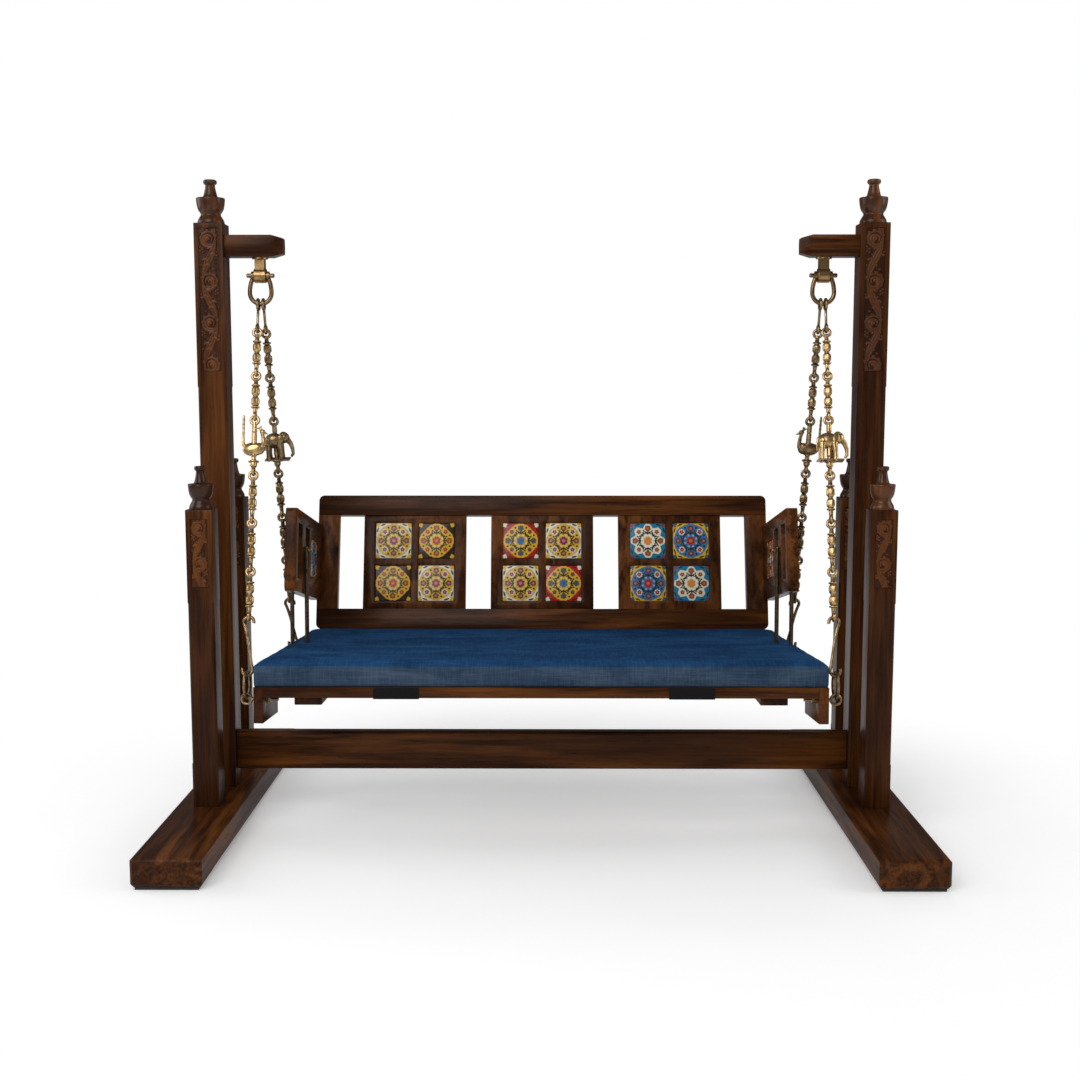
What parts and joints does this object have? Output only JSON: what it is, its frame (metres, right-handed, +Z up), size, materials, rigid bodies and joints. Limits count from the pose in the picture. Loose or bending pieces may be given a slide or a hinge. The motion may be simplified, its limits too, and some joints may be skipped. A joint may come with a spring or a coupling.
{
  "type": "jhoola swing",
  "caption": "Jhoola: a wooden swing seat with a backrest, sloping arms, painted tiles and a blue cushion, hung on brass peacock and elephant chains from a free-standing stand.",
  "frame": {"origin": "on the floor under the middle of the stand", "axes": "+X across the seat, to the right as seen from the front, +Y from the front to the back, +Z up"},
  "size_m": [1.816, 1.16, 1.621],
  "materials": {
    "sheesham": "gloss",
    "brass": "satin",
    "steel": "satin",
    "glazed_tile": "gloss",
    "denim": "matte",
    "webbing": "matte",
    "rubber_pad": "matte"
  },
  "bodies": {
    "stand": {"foot_bolts": "steel", "foot_left": "sheesham", "foot_pads": "rubber_pad", "foot_right": "sheesham", "hanger_arm_left": "sheesham", "hanger_arm_right": "sheesham", "hanger_eyes": "brass", "short_finials": "sheesham", "short_post_front_left": "sheesham", "short_post_front_right": "sheesham", "short_post_rear_left": "sheesham", "short_post_rear_right": "sheesham", "stretcher": "sheesham", "tall_finials": "sheesham", "tall_post_left": "sheesham", "tall_post_right": "sheesham"},
    "shackle_left": {"shackle_bow_left": "brass", "shackle_pin_left": "brass"},
    "shackle_right": {"shackle_bow_right": "brass", "shackle_pin_right": "brass"},
    "chains_left": {"chain_links_front_left": "brass", "chain_links_rear_left": "brass", "elephant_left": "brass", "peacock_left": "brass", "rings_left": "brass", "s_hooks_left": "brass", "top_hooks_left": "brass"},
    "chains_right": {"chain_links_front_right": "brass", "chain_links_rear_right": "brass", "elephant_right": "brass", "peacock_right": "brass", "rings_right": "brass", "s_hooks_right": "brass", "top_hooks_right": "brass"},
    "seat": {"arm_panel_left": "sheesham", "arm_panel_right": "sheesham", "arm_rods": "brass", "arm_tiles": "glazed_tile", "backrest_bottom_rail": "sheesham", "backrest_brackets": "steel", "backrest_panel_left": "sheesham", "backrest_panel_middle": "sheesham", "backrest_panel_right": "sheesham", "backrest_screws": "steel", "backrest_stiles": "sheesham", "backrest_tiles_left": "glazed_tile", "backrest_tiles_middle": "glazed_tile", "backrest_tiles_right": "glazed_tile", "backrest_top_rail": "sheesham", "cheek_blocks_left": "sheesham", "cheek_blocks_right": "sheesham", "cushion": "denim", "cushion_straps": "webbing", "eye_bolt_nuts": "steel", "eye_bolts": "brass", "rod_acorn_nuts": "brass", "rod_clamp_bolts": "brass", "seat_battens": "sheesham", "seat_board": "sheesham"}
  },
  "joints": [
    {"name": "swing", "type": "hinge", "parent": "stand", "child": "shackle_left", "pos_m": [-0.707, 0, 1.385], "axis": [1, 0, 0], "range_deg": [-30, 30]},
    {"name": "swing_right", "type": "hinge", "parent": "stand", "child": "shackle_right", "pos_m": [0.707, 0, 1.385], "axis": [1, 0, 0], "range_deg": [-30, 30]},
    {"name": "sway_left", "type": "hinge", "parent": "shackle_left", "child": "chains_left", "pos_m": [-0.707, -0.00188, 1.34204], "axis": [0, 0.999, -0.0436], "range_deg": [-3, 3]},
    {"name": "sway_right", "type": "hinge", "parent": "shackle_right", "child": "chains_right", "pos_m": [0.707, -0.00188, 1.34204], "axis": [0, 0.999, -0.0436], "range_deg": [-3, 3]},
    {"name": "seat_level", "type": "hinge", "parent": "chains_left", "child": "seat", "pos_m": [-0.69, -0.04486, 0.35758], "axis": [0, 0.999, -0.0436], "range_deg": [-3.2, 3.2]}
  ],
  "couplings": [
    {"joint": "swing_right", "follows": "swing", "ratio": 1},
    {"joint": "sway_right", "follows": "sway_left", "ratio": 1},
    {"joint": "seat_level", "follows": "sway_left", "ratio": -1.0246}
  ]
}
